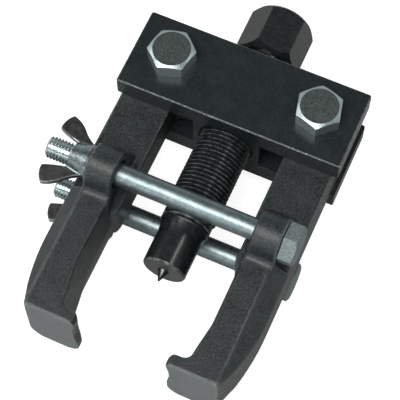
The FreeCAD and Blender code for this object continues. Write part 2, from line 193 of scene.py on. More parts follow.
# Pivot bolts and lock nuts
PIVOT_PITCH = 1.75 * MM
PIVOT_RADIUS = 6.0 * MM
PIVOT_FLATS = 19.0 * MM
PIVOT_HEAD = 8.0 * MM
PIVOT_THREAD_LENGTH = 20.0 * MM
PIVOT_PHASES = {"left": 17.6, "right": -16.2}
PIVOT_PLAY = 0.05 * MM
LOCK_NUT_HEX = 9.0 * MM
LOCK_NUT_EDGE_BREAK = 0.15 * MM

# A lock nut's collar and the nylon ring in it. The rolled lip is (drop from the nut's top, inset
# from the collar's outside) points, and the ring's mouth is its upper edge round the bore.
NUT_COLLAR_RADIUS = 8.2 * MM
NUT_COLLAR_WALL = 1.2 * MM
NUT_COLLAR_OVERLAP = 0.2 * MM
NUT_COLLAR_LIP = ((1.1 * MM, 0), (0.4 * MM, 0.3 * MM), (0, 0.9 * MM), (0.3 * MM, 1.3 * MM))
NYLON_INSET = 1.25 * MM
NYLON_OVERLAP = 0.1 * MM
NYLON_DROP = 0.55 * MM
NYLON_MOUTH_DROP = 0.75 * MM
NYLON_MOUTH = 0.15 * MM

# Camera and floor: angles are in degrees, the lens and the sensor in millimetres
CAMERA_AZIMUTH = 23.984
CAMERA_ELEVATION = 65.635
CAMERA_TARGET = Vector((0.8, -29.9, 0.0)) * MM
CAMERA_DISTANCE = 655.8 * MM
CAMERA_LENS = 134.58
CAMERA_CLIP = (0.01, 20.0)
SENSOR_WIDTH = 36.0

FLOOR_SIZE = 1.6
FLOOR_SEGMENTS = 8
FLOOR_GAP = 0.2 * MM
FLOOR_GLOW = 0.85

# Studio: each light is (name, position, width and height, power), in metres and watts
LIGHT_TARGET = Vector((0, -0.03, 0))
LIGHTS = (
    ("overhead_key", (-0.15, -0.45, 1.05), (0.95, 0.6), 14),
    ("front_strip", (-0.15, -1.15, 0.48), (1.0, 0.22), 2.4),
    ("left_fill", (-1.05, -0.1, 0.55), (0.5, 0.8), 3),
    ("back_right", (0.56, 0.45, 0.96), (0.2, 0.3), 2),
)

# The world's strength and colours, and the heights (0 horizon, 1 zenith) between which it dims
WHITE = (1, 1, 1, 1)
WORLD_STRENGTH = 1.0
HORIZON_COLOUR = (0.68, 0.74, 0.75)
HORIZON_GLOW_TOP = 0.25
CEILING_START = 0.75
CEILING_GREY = 0.12


# ---------------------------------------------------------------- mesh tools

def within(value, limits):
    """Whether the value lies between two limits."""
    return limits[0] < value < limits[1]


def make_object(name, mesh):
    """A new object in the scene that holds the mesh."""
    obj = bpy.data.objects.new(name, mesh)
    bpy.context.scene.collection.objects.link(obj)
    return obj


def object_from(name, bm):
    """A new object that holds the edit mesh, with its faces turned outwards."""
    bmesh.ops.remove_doubles(bm, verts=bm.verts, dist=WELD_DISTANCE)
    bmesh.ops.recalc_face_normals(bm, faces=bm.faces)
    mesh = bpy.data.meshes.new(name)
    bm.to_mesh(mesh)
    bm.free()
    return make_object(name, mesh)


def applied(obj):
    """Bake an object's modifiers into its mesh."""
    graph = bpy.context.evaluated_depsgraph_get()
    mesh = bpy.data.meshes.new_from_object(obj.evaluated_get(graph))
    old = obj.data
    obj.modifiers.clear()
    obj.data = mesh
    mesh.name = obj.name
    bpy.data.meshes.remove(old)
    return obj


def smooth_shading(obj, angle=SHARP_ANGLE):
    """Shade smoothly across edges that turn by less than the angle."""
    obj.data.polygons.foreach_set("use_smooth", [True] * len(obj.data.polygons))
    obj.data.set_sharp_from_angle(angle=math.radians(angle))


def bevelled(obj, width, angle=BEVEL_ANGLE, material=-1):
    """Round the sharp edges of a clean mesh.

    They get a material's number, or with -1 the material of the faces beside them.
    """
    bevel = obj.modifiers.new("edge_break", "BEVEL")
    bevel.width = width
    bevel.segments = BEVEL_SEGMENTS
    bevel.limit_method = "ANGLE"
    bevel.angle_limit = math.radians(angle)
    bevel.material = material
    applied(obj)


def flat_faces(obj):
    """Keep the shading of large faces flat beside their small bevels."""
    normals = obj.modifiers.new("flat_faces", "WEIGHTED_NORMAL")
    normals.keep_sharp = True
    applied(obj)


def machined(obj, width=EDGE_BREAK):
    """Break the edges of a turned or milled piece, and shade it smoothly between flat faces."""
    bevelled(obj, width)
    smooth_shading(obj)
    flat_faces(obj)


def node_copy(node, name):
    """A piece with the node's own shape, its flat faces merged back into polygons."""
    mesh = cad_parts[node].data.copy()
    mesh.materials.clear()
    bm = bmesh.new()
    bm.from_mesh(mesh)
    bmesh.ops.remove_doubles(bm, verts=bm.verts, dist=CAD_WELD_DISTANCE)
    bmesh.ops.dissolve_limit(bm, angle_limit=math.radians(COPLANAR_ANGLE), verts=bm.verts,
                             edges=bm.edges)
    bm.to_mesh(mesh)
    bm.free()
    mesh.name = name
    return make_object(name, mesh)


def cast(node, name, voxel, softening):
    """The node's shape as a casting or forging: remeshed evenly and with its edges worn round."""
    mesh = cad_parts[node].data.copy()
    mesh.materials.clear()
    mesh.name = name
    obj = make_object(name, mesh)
    remesh = obj.modifiers.new("skin", "REMESH")
    remesh.mode = "VOXEL"
    remesh.voxel_size = voxel
    remesh.use_smooth_shade = True
    smooth = obj.modifiers.new("soften", "SMOOTH")
    smooth.factor = SMOOTH_FACTOR
    smooth.iterations = softening
    return applied(obj)


def soften_zone(obj, weight):
    """Round the mesh off further where weight(point) is above 0."""
    group = obj.vertex_groups.new(name="soft")
    for vertex in obj.data.vertices:
        share = weight(vertex.co)
        if share > 0:
            group.add((vertex.index,), share, "REPLACE")
    smooth = obj.modifiers.new("soften_more", "SMOOTH")
    smooth.factor = SMOOTH_FACTOR
    smooth.iterations = SOFT_ITERATIONS
    smooth.vertex_group = group.name
    applied(obj)
    obj.vertex_groups.clear()


def ring(bm, points):
    """New vertices at the points, in their order."""
    return [bm.verts.new(point) for point in points]


def bridge(bm, lower, upper, material=0):
    """Quads between two rings with the same number of vertices."""
    count = len(lower)
    for i in range(count):
        j = (i + 1) % count
        face = bm.faces.new((lower[i], lower[j], upper[j], upper[i]))
        face.material_index = material


def cap(bm, edge_ring, centre, material=0):
    """A fan of triangles from a ring to its centre."""
    middle = bm.verts.new(centre)
    count = len(edge_ring)
    for i in range(count):
        face = bm.faces.new((edge_ring[i], edge_ring[(i + 1) % count], middle))
        face.material_index = material


def circle(radius, height, angles):
    """Points at the angles of a circle about Z."""
    return [Vector((radius * math.cos(a), radius * math.sin(a), height)) for a in angles]


def turned_rings(bm, profile, segments):
    """A ring of vertices about Z for each (height, radius) of a profile."""
    angles = [2 * math.pi * i / segments for i in range(segments)]
    return [ring(bm, circle(radius, height, angles)) for height, radius in profile]


def lathe(bm, profile, segments=ROUND_SEGMENTS):
    """Turn a closed bar along +Z; the profile is (height, radius) from one end to the other."""
    rings = turned_rings(bm, profile, segments)
    for lower, upper in zip(rings, rings[1:]):
        bridge(bm, lower, upper)
    cap(bm, rings[0], (0, 0, profile[0][0]))
    cap(bm, rings[-1], (0, 0, profile[-1][0]))


def tube(bm, profile, material=0):
    """Turn a closed outline of (height, radius) points about Z."""
    rings = turned_rings(bm, profile, ROUND_SEGMENTS)
    for lower, upper in zip(rings, rings[1:] + rings[:1]):
        bridge(bm, lower, upper, material)


def compass(angle):
    """The unit vector at an angle in the plane."""
    return Vector((math.cos(angle), math.sin(angle)))


def rounded_hexagon(flats, phase):
    """The outline of a hexagon with slightly rounded corners; the phase is in degrees."""
    reach = flats / math.sqrt(3) - HEX_CORNER_RADIUS / math.cos(math.radians(30))
    outline = []
    for side in range(6):
        middle = math.radians(phase + 60 * side)
        for step in range(-HEX_CORNER_STEPS, HEX_CORNER_STEPS + 1):
            turn = middle + math.radians(30 / HEX_CORNER_STEPS * step)
            outline.append(compass(middle) * reach + compass(turn) * HEX_CORNER_RADIUS)
        following = middle + math.radians(60)
        turn = following - math.radians(30)
        start = outline[-1]
        end = compass(following) * reach + compass(turn) * HEX_CORNER_RADIUS
        outline += [start.lerp(end, step / HEX_SIDE_STEPS) for step in range(1, HEX_SIDE_STEPS)]
    return outline


def hexagon(bm, flats, start, height, phase, chamfers, bore=0.0, crown_material=0,
            chamfer_slope=ISO_CHAMFER):
    """A hexagonal bar along +Z, its named ends ("start", "end") chamfered.

    The crown is the flat face at its end, or round the bore if it has one.
    """
    outline = rounded_hexagon(flats, phase)
    angles = [math.atan2(point.y, point.x) for point in outline]
    crown = CROWN_SHARE * flats
    falls = [max(point.length - crown, 0) * chamfer_slope for point in outline]

    def side_ring(level, falling):
        """The outline at a level, its points lowered by falling times their chamfers."""
        return ring(bm, [Vector((point.x, point.y, level - falling * fall))
                         for point, fall in zip(outline, falls)])

    end = start + height
    low = side_ring(start, -1 if "start" in chamfers else 0)
    high = side_ring(end, 1 if "end" in chamfers else 0)
    bridge(bm, low, high)
    inner = []
    for edge_ring, level, name in ((low, start, "start"), (high, end, "end")):
        if name in chamfers:
            crown_ring = ring(bm, circle(crown, level, angles))
            bridge(bm, edge_ring, crown_ring)
            edge_ring = crown_ring
        if bore:
            mouth = ring(bm, circle(bore, level, angles))
            bridge(bm, edge_ring, mouth, crown_material)
            inner.append(mouth)
        else:
            cap(bm, edge_ring, (0, 0, level), crown_material if name == "end" else 0)
    if bore:
        bridge(bm, inner[0], inner[1])


def thread(bm, radius, pitch, start, end, end_chamfers=(0.0, 0.0), material=0, crest_material=0):
    """A bar along +Z with a right-hand 60 degree thread between two heights.

    The grid of faces follows the helix, so that crests and roots are clean edges. It is built
    longer than the thread and cut at both ends. end_chamfers are the depths of the chamfers at
    the start and the end.
    """
    per_turn = len(THREAD_PROFILE)
    turns = math.ceil((end - start) / pitch) + 3
    base = start - 1.5 * pitch
    columns = []
    for i in range(THREAD_SEGMENTS):
        angle = 2 * math.pi * i / THREAD_SEGMENTS
        column = []
        for j in range(turns * per_turn):
            share, height = THREAD_PROFILE[j % per_turn]
            z = base + (j // per_turn + share + i / THREAD_SEGMENTS) * pitch
            r = radius - THREAD_DEPTH * pitch * (1 - height)
            for depth_in, distance in zip(end_chamfers, (z - start, end - z)):
                if depth_in:
                    r = min(r, radius - depth_in + max(distance, 0))
            column.append(bm.verts.new((r * math.cos(angle), r * math.sin(angle), z)))
        columns.append(column)
    made = [v for column in columns for v in column]
    for i in range(THREAD_SEGMENTS):
        following = columns[(i + 1) % THREAD_SEGMENTS]
        shift = per_turn if i == THREAD_SEGMENTS - 1 else 0
        for j in range(turns * per_turn - 1):
            if j + 1 + shift < turns * per_turn:
                face = bm.faces.new((columns[i][j], following[j + shift],
                                     following[j + 1 + shift], columns[i][j + 1]))
                on_crest = j % per_turn == THREAD_CREST
                face.material_index = crest_material if on_crest else material
    faces = {face for v in made for face in v.link_faces}
    edges = {edge for face in faces for edge in face.edges}
    geometry = made + list(edges) + list(faces)
    for level, direction in ((start, -1), (end, 1)):
        geometry = [g for g in geometry if g.is_valid]
        result = bmesh.ops.bisect_plane(bm, geom=geometry, plane_co=(0, 0, level),
                                        plane_no=(0, 0, direction), clear_outer=True)
        cut = [g for g in result["geom_cut"] if isinstance(g, bmesh.types.BMEdge)]
        filled = bmesh.ops.edgeloop_fill(bm, edges=cut)["faces"]
        for face in filled:
            face.material_index = material
        geometry = [g for g in result["geom"] if g.is_valid] + list(filled)


def placed(obj, position, direction):
    """Move a mesh built along +Z so that it starts at position and runs along direction."""
    turn = FRONT.rotation_difference(direction).to_matrix().to_4x4()
    obj.data.transform(Matrix.Translation(position) @ turn)


def vertex_vectors(mesh, kind):
    """The mesh's vertex vectors of a kind, "co" or "normal", as an array with a row for each."""
    vectors = np.empty(len(mesh.vertices) * 3, np.float32)
    mesh.vertices.foreach_get(kind, vectors)
    return vectors.reshape(-1, 3)


def edge_wear(obj, reach, wearless_facing=(0, 0, 0)):
    """Store how convex the surface is at each vertex, 0 flat to 1 sharp, for worn edges.

    Edges that face the given direction get less wear, and none where they face it closely.
    """
    mesh = obj.data
    count = len(mesh.vertices)
    points = vertex_vectors(mesh, "co")
    normals = vertex_vectors(mesh, "normal")
    edges = np.empty(len(mesh.edges) * 2, np.int32)
    mesh.edges.foreach_get("vertices", edges)
    first, second = edges.reshape(-1, 2).T
    span = points[second] - points[first]
    length = np.maximum(np.linalg.norm(span, axis=1), TINY)
    bend = np.zeros(count)
    links = np.zeros(count)
    for here, sign in ((first, -1), (second, 1)):
        # How far a neighbour falls below the vertex's tangent plane, over its distance squared.
        rise = sign * np.einsum("ij,ij->i", normals[here], span) / length ** 2
        np.add.at(bend, here, rise)
        np.add.at(links, here, 1)
    bend = bend / np.maximum(links, 1) * reach
    # Each blur takes half of a vertex's value from its neighbours.
    for _ in range(WEAR_BLURS):
        total = np.zeros(count)
        np.add.at(total, first, bend[second])
        np.add.at(total, second, bend[first])
        bend = 0.5 * bend + 0.5 * total / np.maximum(links, 1)
    # Edges facing the given direction lose the wear colour and keep the base tone.
    facing = normals @ np.array(wearless_facing, np.float32)
    bend *= np.clip(1 - WEAR_FACING_CUT * facing, 0.0, 1.0)
    attribute = mesh.attributes.new(WEAR, "FLOAT", "POINT")
    attribute.data.foreach_set("value", np.clip(bend, 0, 1).astype(np.float32))


# ---------------------------------------------------------------- materials

class Surface:
    """A node material with short calls for the nodes that the finishes share."""

    def __init__(self, name, metallic, roughness):
        self.material = bpy.data.materials.new(name)
        self.material.use_nodes = True
        self.tree = self.material.node_tree
        self.shader = self.tree.nodes["Principled BSDF"]
        self.shader.inputs["Metallic"].default_value = metallic
        self.shader.inputs["Roughness"].default_value = roughness
        coordinates = self.tree.nodes.new("ShaderNodeTexCoord")
        mapping = self.tree.nodes.new("ShaderNodeMapping")
        mapping.inputs["Scale"].default_value = (1 / MM, 1 / MM, 1 / MM)
        self.link(coordinates.outputs["Object"], mapping.inputs["Vector"])
        self.millimetres = mapping.outputs["Vector"]

    def link(self, output, target):
        """Lead an output socket to an input socket."""
        self.tree.links.new(output, target)

    def noise(self, size, detail=2.0, roughness=0.5, stretch=None):
        """Noise whose features are about size millimetres across."""
        vector = self.millimetres
        if stretch:
            mapping = self.tree.nodes.new("ShaderNodeMapping")
            mapping.inputs["Scale"].default_value = stretch
            self.link(vector, mapping.inputs["Vector"])
            vector = mapping.outputs["Vector"]
        node = self.tree.nodes.new("ShaderNodeTexNoise")
        node.inputs["Scale"].default_value = 1 / size
        node.inputs["Detail"].default_value = detail
        node.inputs["Roughness"].default_value = roughness
        self.link(vector, node.inputs["Vector"])
        return node.outputs["Fac"]

    def attribute(self, name):
        """A value that the mesh stores at its vertices."""
        node = self.tree.nodes.new("ShaderNodeAttribute")
        node.attribute_name = name
        return node.outputs["Fac"]

    def remap(self, value, low, high, to_low=0.0, to_high=1.0):
        """The range low to high stretched to another range, and clipped to it."""
        node = self.tree.nodes.new("ShaderNodeMapRange")
        node.inputs["From Min"].default_value = low
        node.inputs["From Max"].default_value = high
        node.inputs["To Min"].default_value = to_low
        node.inputs["To Max"].default_value = to_high
        self.link(value, node.inputs["Value"])
        return node.outputs["Result"]

    def mix(self, factor, a, b):
        """Mix two colours or sockets by a socket or a number."""
        node = self.tree.nodes.new("ShaderNodeMix")
        node.data_type = "RGBA"
        for name, value in (("Factor", factor), ("A", a), ("B", b)):
            self.feed(node.inputs[name], value)
        return node.outputs["Result"]

    def combine(self, a, b, operation="ADD"):
        """The sum, or another operation, of two sockets or numbers."""
        node = self.tree.nodes.new("ShaderNodeMath")
        node.operation = operation
        for socket, value in zip(node.inputs, (a, b)):
            self.feed(socket, value)
        return node.outputs["Value"]

    def feed(self, socket, value):
        """Give an input socket an output socket, a number or a colour."""
        if isinstance(value, bpy.types.NodeSocket):
            self.link(value, socket)
        elif isinstance(value, (int, float)):
            socket.default_value = value
        else:
            socket.default_value = (*value, 1.0)

    def colour(self, socket):
        """Give the finish its colour."""
        self.link(socket, self.shader.inputs["Base Color"])

    def roughness(self, socket):
        """Give the finish a roughness that varies."""
        self.link(socket, self.shader.inputs["Roughness"])

    def bump(self, heights):
        """Bumps from (socket, depth in millimetres) pairs, coarse first."""
        normal = None
        for socket, depth in heights:
            node = self.tree.nodes.new("ShaderNodeBump")
            node.inputs["Strength"].default_value = 1.0
            node.inputs["Distance"].default_value = depth * MM
            self.link(socket, node.inputs["Height"])
            if normal:
                self.link(normal, node.inputs["Normal"])
            normal = node.outputs["Normal"]
        self.link(normal, self.shader.inputs["Normal"])


def blackened(name, dark, light, worn, grain, depth, roughness, spread, speckle):
    """Black oxide or phosphate on steel: mottled, finely grained, and rubbed at the edges.

    The grain's size and the bumps' depth are in millimetres. The roughness varies by the
    spread either way, and the speckle is the strength of the worn flecks.
    """
    surface = Surface(name, 0.0, roughness)
    surface.shader.inputs["Specular IOR Level"].default_value = 0.42
    cloud = surface.noise(9.0, 3.0, 0.55)
    fine = surface.noise(grain, 4.0, 0.65)
    flecks = surface.remap(surface.noise(grain * 0.8, 3.0, 0.6), 0.5, 0.68)
    mottle = surface.combine(surface.remap(cloud, 0.35, 0.65, 0.0, 0.5),
                             surface.remap(fine, 0.35, 0.65, 0.0, 0.5))
    tone = surface.mix(mottle, dark, light)
    tone = surface.mix(surface.combine(flecks, speckle, "MULTIPLY"), tone, worn)
    rubbed = surface.combine(surface.remap(surface.attribute(WEAR), 0.12, 0.6),
                             surface.remap(fine, 0.3, 0.6), "MULTIPLY")
    surface.colour(surface.mix(rubbed, tone, worn))
    surface.roughness(surface.remap(fine, 0.3, 0.7, roughness - spread, roughness + spread))
    coarse = surface.noise(grain * 4.5, 3.0, 0.6)
    surface.bump([(coarse, depth * 1.6), (fine, depth)])
    return surface.material


def zinc_plate(name, dark, light, roughness, depth):
    """Bright zinc: bluish, softly clouded, with a fine unevenness."""
    surface = Surface(name, 1.0, roughness)
    cloud = surface.noise(2.6, 4.0, 0.65)
    fine = surface.noise(0.9, 3.0, 0.6)
    mottle = surface.combine(surface.remap(cloud, 0.35, 0.65, 0.0, 0.55),
                             surface.remap(fine, 0.35, 0.65, 0.0, 0.45))
    surface.colour(surface.mix(mottle, dark, light))
    surface.roughness(surface.remap(fine, 0.3, 0.7, roughness - 0.06, roughness + 0.06))
    surface.bump([(surface.noise(3.0, 2.0, 0.5), depth), (fine, depth * 0.2)])
    return surface.material


def shaded_zinc_casting():
    """The broad faces of a zinc casting: brownish and rougher, darkened with painted shade for
    the dark surroundings they reflect, and bright where they are rubbed.
    """
    surface = Surface("cast_zinc_painted_shade", 0.8, 0.42)
    cloud = surface.noise(3.0, 3.0, 0.6)
    fine = surface.noise(0.6, 3.0, 0.6)
    # Painted shade: a dark base colour for the broad faces.
    shaded_tone = surface.mix(surface.remap(cloud, 0.35, 0.65),
                       (0.036, 0.035, 0.034), (0.080, 0.079, 0.077))
    rubbed = surface.combine(surface.remap(surface.attribute(WEAR), 0.2, 0.6),
                             surface.remap(fine, 0.2, 0.45), "MULTIPLY")
    surface.colour(surface.mix(rubbed, shaded_tone, (0.55, 0.60, 0.60)))
    surface.roughness(surface.remap(fine, 0.3, 0.7, 0.34, 0.5))
    surface.bump([(surface.noise(1.6, 2.0, 0.5), 0.02), (fine, 0.006)])
    return surface.material


def grainy_zinc(name, dark, light, roughness, depth):
    """Zinc on a forged bolt head, whose surface is grainy."""
    surface = Surface(name, 0.9, roughness)
    fine = surface.noise(0.75, 4.0, 0.7)
    surface.colour(surface.mix(surface.remap(fine, 0.35, 0.65), dark, light))
    surface.roughness(surface.remap(fine, 0.3, 0.7, roughness - 0.06, roughness + 0.1))
    surface.bump([(surface.noise(2.0, 2.0, 0.5), depth * 1.5), (fine, depth)])
    return surface.material


def screw_black(name, dark, light):
    """Oiled black oxide on the turned forcing screw, with faint turning marks."""
    surface = Surface(name, 0.0, 0.24)
    surface.shader.inputs["Specular IOR Level"].default_value = 0.4
    surface.shader.inputs["Coat Weight"].default_value = 0.18
    surface.shader.inputs["Coat Roughness"].default_value = 0.16
    cloud = surface.noise(2.2, 3.0, 0.6)
    marks = surface.noise(0.7, 2.0, 0.5, stretch=(0.15, 2.2, 0.15))
    surface.colour(surface.mix(surface.remap(cloud, 0.38, 0.62), dark, light))
    surface.roughness(surface.remap(marks, 0.3, 0.7, 0.18, 0.32))
    surface.bump([(marks, 0.003), (surface.noise(0.8, 2.0, 0.5), 0.003)])
    return surface.material


def bare_face():
    """The bare steel face at the screw's end: mid grey and finely grained."""
    surface = Surface("ground_steel", 0.2, 0.5)
    fine = surface.noise(0.5, 4.0, 0.65)
    surface.colour(surface.mix(surface.remap(fine, 0.3, 0.7),
                               (0.030, 0.032, 0.031), (0.060, 0.063, 0.061)))
    surface.roughness(surface.remap(fine, 0.3, 0.7, 0.36, 0.52))
    surface.bump([(fine, 0.02)])
    return surface.material


def point_steel():
    """Hardened steel, with marks along the point."""
    surface = Surface("hardened_point", 0.9, 0.22)
    marks = surface.noise(0.5, 2.0, 0.5, stretch=(0.3, 2.5, 0.3))
    surface.colour(surface.mix(surface.remap(marks, 0.3, 0.7),
                               (0.03, 0.032, 0.034), (0.10, 0.105, 0.11)))
    surface.roughness(surface.remap(marks, 0.3, 0.7, 0.15, 0.3))
    surface.bump([(marks, 0.01)])
    return surface.material


def nylon():
    """The white ring in a lock nut."""
    surface = Surface("nylon_ring", 0.0, 0.5)
    cloud = surface.noise(1.5, 2.0, 0.5)
    surface.colour(surface.mix(cloud, (0.55, 0.57, 0.60), (0.68, 0.70, 0.72)))
    surface.bump([(cloud, 0.02)])
    return surface.material


def floor_paper():
    """White paper: bright to the camera, but it throws little light back at the tool."""
    surface = Surface("floor_paper", 0.0, 0.9)
    surface.shader.inputs["Specular IOR Level"].default_value = 0.1
    surface.shader.inputs["Emission Color"].default_value = WHITE
    fibres = surface.noise(1.2, 3.0, 0.6)
    surface.colour(surface.mix(fibres, (0.42, 0.42, 0.42), (0.45, 0.45, 0.45)))
    rays = surface.tree.nodes.new("ShaderNodeLightPath")
    glow = surface.combine(rays.outputs["Is Camera Ray"], FLOOR_GLOW, "MULTIPLY")
    surface.link(glow, surface.shader.inputs["Emission Strength"])
    return surface.material


MACHINED = blackened("machined_black", (0.0062, 0.0092, 0.0094), (0.0150, 0.0198, 0.0200),
                     (0.035, 0.042, 0.042), grain=1.2, depth=0.003, roughness=0.29,
                     spread=0.04, speckle=0.10)
RIM = blackened("machined_rim", (0.04, 0.047, 0.047), (0.09, 0.102, 0.102),
                (0.34, 0.37, 0.37), grain=1.2, depth=0.01, roughness=0.34,
                spread=0.08, speckle=0.5)
FORGED = blackened("forged_black", (0.0022, 0.0042, 0.0042), (0.0195, 0.0252, 0.0250),
                   (0.100, 0.112, 0.111), grain=0.9, depth=0.07, roughness=0.42,
                   spread=0.14, speckle=0.34)
# Painted light: the end faces of the feet get a lighter colour for the light they catch from the
# front and the floor.
FOOT_END_PAINTED_LIGHT = blackened("foot_face", (0.088, 0.098, 0.097), (0.118, 0.130, 0.129),
                 (0.19, 0.202, 0.200), grain=0.8, depth=0.015, roughness=0.55,
                 spread=0.1, speckle=0.3)
ZINC = zinc_plate("zinc_shank", (0.125, 0.163, 0.170), (0.285, 0.333, 0.340),
                  roughness=0.41, depth=0.008)
# Painted highlight: a lighter copy of the zinc for the bolts' threads, for the bright crests they
# catch.
ZINC_THREAD_HIGHLIGHT = zinc_plate("zinc_thread_painted_highlight", (0.46, 0.53, 0.53), (0.64, 0.71, 0.71),
                    roughness=0.24, depth=0.002)
SHINY = zinc_plate("zinc_hub", (0.15, 0.19, 0.20), (0.36, 0.41, 0.42),
                   roughness=0.29, depth=0.008)
WING_FACE_SHADE = shaded_zinc_casting()
CROWN = grainy_zinc("pivot_head_top", (0.05, 0.062, 0.060), (0.13, 0.148, 0.143),
                    roughness=0.46, depth=0.02)
PIVOT = grainy_zinc("pivot_head", (0.28, 0.345, 0.338), (0.42, 0.485, 0.477),
                    roughness=0.36, depth=0.006)
HEAD = grainy_zinc("clamp_head", (0.115, 0.148, 0.146), (0.285, 0.328, 0.324),
                   roughness=0.60, depth=0.03)
OXIDE = screw_black("oiled_black_oxide", (0.0062, 0.0082, 0.0084), (0.0120, 0.0148, 0.0150))
# Painted highlight: thread crests and groove flanks are coloured lighter for the light they
# catch; at the nose rim the lighter colour is rubbing.
CREST_HIGHLIGHT_AND_WEAR = screw_black("black_oxide_highlight_and_wear", (0.012, 0.015, 0.0155), (0.120, 0.136, 0.136))
BARE = bare_face()
POINT = point_steel()
NYLON = nylon()


def finish(obj, materials, body, node):
    """Give a finished piece its materials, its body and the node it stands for."""
    for material in materials:
        obj.data.materials.append(material)
    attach(obj, body)
    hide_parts(node)


# ---------------------------------------------------------------- pieces

def crosshead():
    """A milled block, whose chamfers and edges are rubbed."""
    obj = node_copy("crosshead", "crosshead_block")
    low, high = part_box("crosshead")
    for face in obj.data.polygons:
        depth = min(abs(face.center.z - low.z), abs(high.z - face.center.z))
        on_chamfer = within(abs(face.normal.z), CROSSHEAD_CHAMFER_SLOPES)
        face.material_index = int(depth < CROSSHEAD_CHAMFER and on_chamfer)
    bevelled(obj, CROSSHEAD_EDGE_BREAK, CROSSHEAD_BEVEL_ANGLE, material=1)
    smooth_shading(obj, CROSSHEAD_SHARP_ANGLE)
    flat_faces(obj)
    finish(obj, [MACHINED, RIM], "head", "crosshead")


def zone_weight(depths):
    """0 outside a zone, rising to 1 at SOFT_FADE inside all its limits."""
    return max(0.0, min(1.0, min(depths) / SOFT_FADE))


def boss_weight(point):
    """How far a point lies in the bosses that the clamp bolts pass through."""
    return zone_weight((BOSS_SOFT_TOP - point.y, point.y - BOSS_SOFT_END,
                        abs(point.z) - TANG_FACE))


def foot_weight(point):
    """How far a point lies in the foot's outer front corner."""
    return zone_weight((FOOT_SOFT_TOP - point.y, abs(point.x) - FOOT_SOFT_X,
                        point.z - FOOT_SOFT_Z))


def round_heel(obj):
    """Round the foot's outer rear corner, more and more towards its end face.

    Each slice across the foot has a square corner. Its points are drawn in so that the corner's
    square becomes a quarter disc, which keeps the end face's mesh even.
    """
    points = vertex_vectors(obj.data, "co")
    side = math.copysign(1.0, points[:, 0].mean())
    out, along, rear = points[:, 0] * side, points[:, 1], -points[:, 2]
    slices = np.arange(points[:, 1].min(), HEEL_TOP, HEEL_SLICE)
    edge_out, edge_rear = [], []
    for level in slices:
        near = np.abs(along - level) < HEEL_SLICE
        edge_out.append(out[near & (np.abs(rear) < HEEL_MIDDLE)].max())
        edge_rear.append(rear[near & (out > edge_out[-1] - HEEL_WIDTH)].max())
    radius = HEEL_RADIUS * np.clip((HEEL_TOP - along) / HEEL_FADE, 0, 1)
    corner_out = np.interp(along, slices, edge_out) - radius
    corner_rear = np.interp(along, slices, edge_rear) - radius
    a = out - corner_out
    b = rear - corner_rear
    inside = (a > 0) & (b > 0) & (radius > 0)
    scale = np.maximum(a, b) / np.maximum(np.hypot(a, b), TINY)
    points[:, 0] = np.where(inside, side * (corner_out + a * scale), points[:, 0])
    points[:, 2] = np.where(inside, -(corner_rear + b * scale), points[:, 2])
    obj.data.vertices.foreach_set("co", points.ravel())
    obj.data.update()


def jaw(side):
    """A forged jaw: soft edges, and painted light that makes the sole at the end of the foot
    lighter.
    """
    node = side + "_jaw"
    obj = cast(node, node + "_forging", JAW_VOXEL, JAW_SOFTENING)
    soften_zone(obj, boss_weight)
    soften_zone(obj, foot_weight)
    round_heel(obj)
    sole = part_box(node)[0].y
    # Faces at the sole get the lighter painted-light colour.
    for face in obj.data.polygons:
        at_sole = face.center.y < sole + SOLE_DEPTH
        face.material_index = int(at_sole and face.normal.y < SOLE_SLOPE)
    # The edges facing the other jaw get no wear colour.
    edge_wear(obj, JAW_WEAR, wearless_facing=(1 if side == "left" else -1, 0, 0))
    finish(obj, [FORGED, FOOT_END_PAINTED_LIGHT], node, node)


